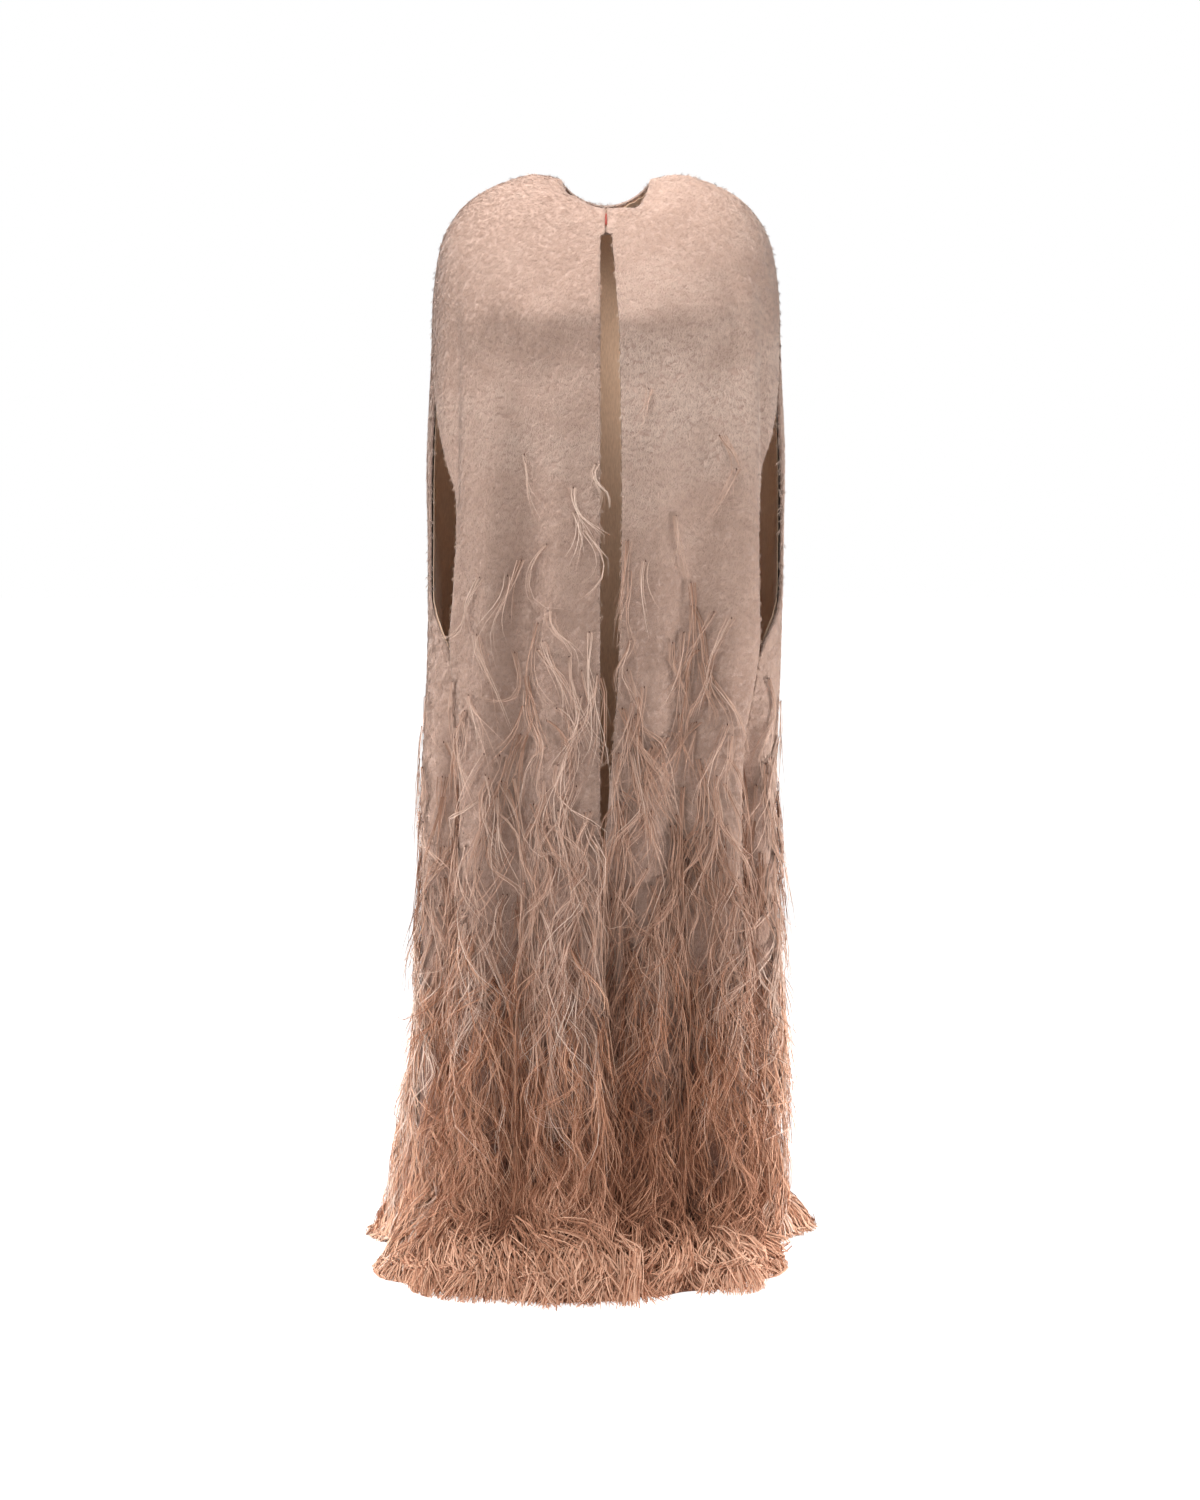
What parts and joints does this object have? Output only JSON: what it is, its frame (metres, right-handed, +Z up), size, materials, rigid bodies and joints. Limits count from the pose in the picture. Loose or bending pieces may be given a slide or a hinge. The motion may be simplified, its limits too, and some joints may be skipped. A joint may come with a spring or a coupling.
{
  "type": "feathered fur cape",
  "caption": "Floor-length open-front cape of short fur with arm slits, satin lining, a hooked throat and feather fringe that thickens to the floor.",
  "frame": {"origin": "between the shoulders at the height of the shoulder ridge, where the wearer carries the cape", "axes": "+Z up, -Y the way the front faces, +X towards the wearer's left"},
  "size_m": [0.6103, 0.7245, 1.4885],
  "materials": {
    "fur": "short sheared pile, matt",
    "satin_lining": "satin weave, soft gloss",
    "ostrich_feather": "loose feather strands, matt",
    "hook_wire": "thread-dark wire"
  },
  "bodies": {
    "root": {"front_right": "fur", "front_left": "fur", "back": "fur", "lining_front_right": "satin_lining", "lining_front_left": "satin_lining", "lining_back": "satin_lining", "feathers_front_right_1": "ostrich_feather", "feathers_front_right_2": "ostrich_feather", "feathers_front_right_3": "ostrich_feather", "feathers_front_right_4": "ostrich_feather", "feathers_front_right_5": "ostrich_feather", "feathers_front_left_1": "ostrich_feather", "feathers_front_left_2": "ostrich_feather", "feathers_front_left_3": "ostrich_feather", "feathers_front_left_4": "ostrich_feather", "feathers_front_left_5": "ostrich_feather", "feathers_back_1": "ostrich_feather", "feathers_back_2": "ostrich_feather", "feathers_back_3": "ostrich_feather", "feathers_back_4": "ostrich_feather", "feathers_back_5": "ostrich_feather", "neck_hook": "hook_wire", "neck_eye": "hook_wire"}
  },
  "joints": []
}
